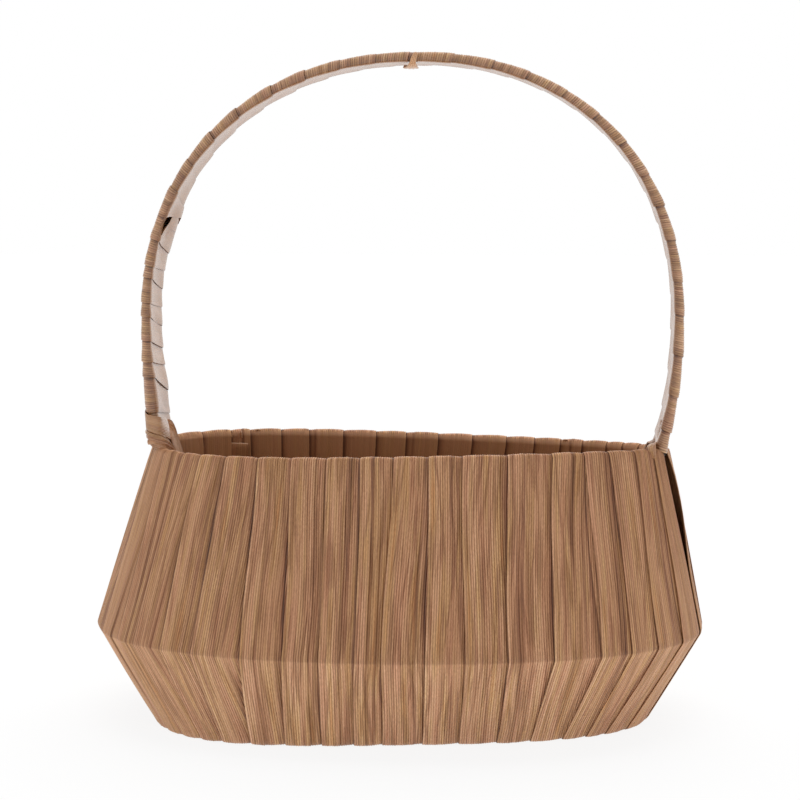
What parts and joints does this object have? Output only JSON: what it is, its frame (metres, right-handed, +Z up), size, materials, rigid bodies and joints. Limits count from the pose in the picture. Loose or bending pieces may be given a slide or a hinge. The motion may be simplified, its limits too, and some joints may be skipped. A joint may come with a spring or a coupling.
{
  "type": "oval basket with bow handle",
  "caption": "Oval wire-framed basket wound with corded ribbon, widest at a low shoulder, with a tall fixed bow handle and a flat floor.",
  "frame": {"origin": "on the surface that the basket stands on, below the middle of the shoulder hoop, which is the middle of the bounding box's bottom", "axes": "+Z up, +X along the oval's length to the right of the picture, +Y from the front to the back"},
  "size_m": [0.3003, 0.1786, 0.3235],
  "materials": {
    "wall_ribbon": "fine-corded straw-coloured ribbon with a soft gloss",
    "handle_ribbon": "the same corded ribbon, wound crosswise, glossier where it is stretched flat",
    "wire": "dull lacquered steel wire",
    "board": "plain pressed board, matt"
  },
  "bodies": {
    "root": {"rim_hoop": "wire", "shoulder_hoop": "wire", "base_hoop": "wire", "upright_1": "wire", "upright_2": "wire", "upright_3": "wire", "upright_4": "wire", "upright_5": "wire", "upright_6": "wire", "upright_7": "wire", "upright_8": "wire", "handle_front_wire": "wire", "handle_back_wire": "wire", "front_wall_ribbon": "wall_ribbon", "right_end_ribbon": "wall_ribbon", "back_wall_ribbon": "wall_ribbon", "left_end_ribbon": "wall_ribbon", "handle_ribbon": "handle_ribbon", "left_foot_binding": "handle_ribbon", "right_foot_binding": "handle_ribbon", "base_board": "board"}
  },
  "joints": []
}
